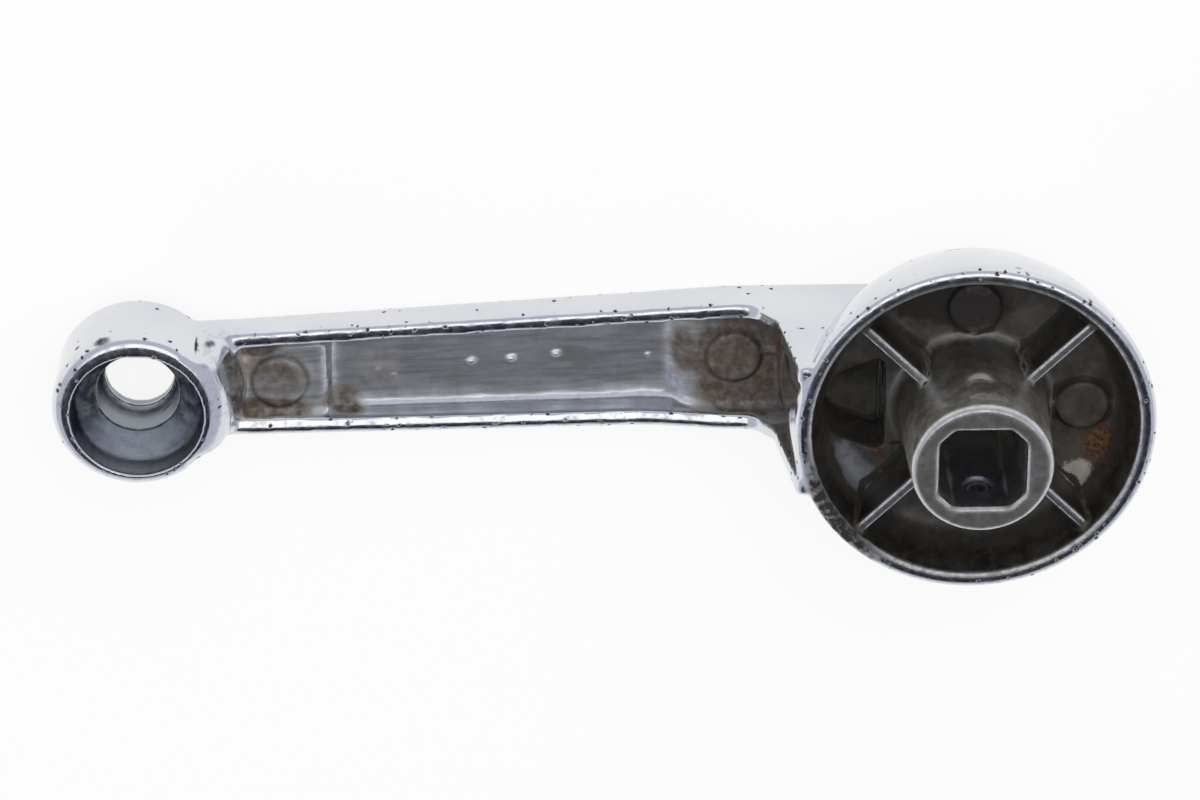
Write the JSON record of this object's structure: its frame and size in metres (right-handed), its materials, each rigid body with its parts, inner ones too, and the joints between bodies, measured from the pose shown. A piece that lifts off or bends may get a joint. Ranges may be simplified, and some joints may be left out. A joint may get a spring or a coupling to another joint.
{
  "type": "window crank handle",
  "caption": "Cast window crank: a bell-shaped hub with a ribbed cup and square drive boss, a channel arm, and a bored ring for a knob that is missing.",
  "frame": {"origin": "middle of the square socket's mouth, at the end of the drive boss", "axes": "+Z out of the socket along its axis, towards the door; the arm runs from the socket towards -X; the part lies on its front face, at -Z"},
  "size_m": [0.1124, 0.0368, 0.0272],
  "materials": {
    "crank_casting": "worn chrome plating outside, dull grey zinc with grime and light rust stains in the cup, the channel and the ring's bore"
  },
  "bodies": {
    "root": {"crank_casting": "crank_casting"}
  },
  "joints": []
}
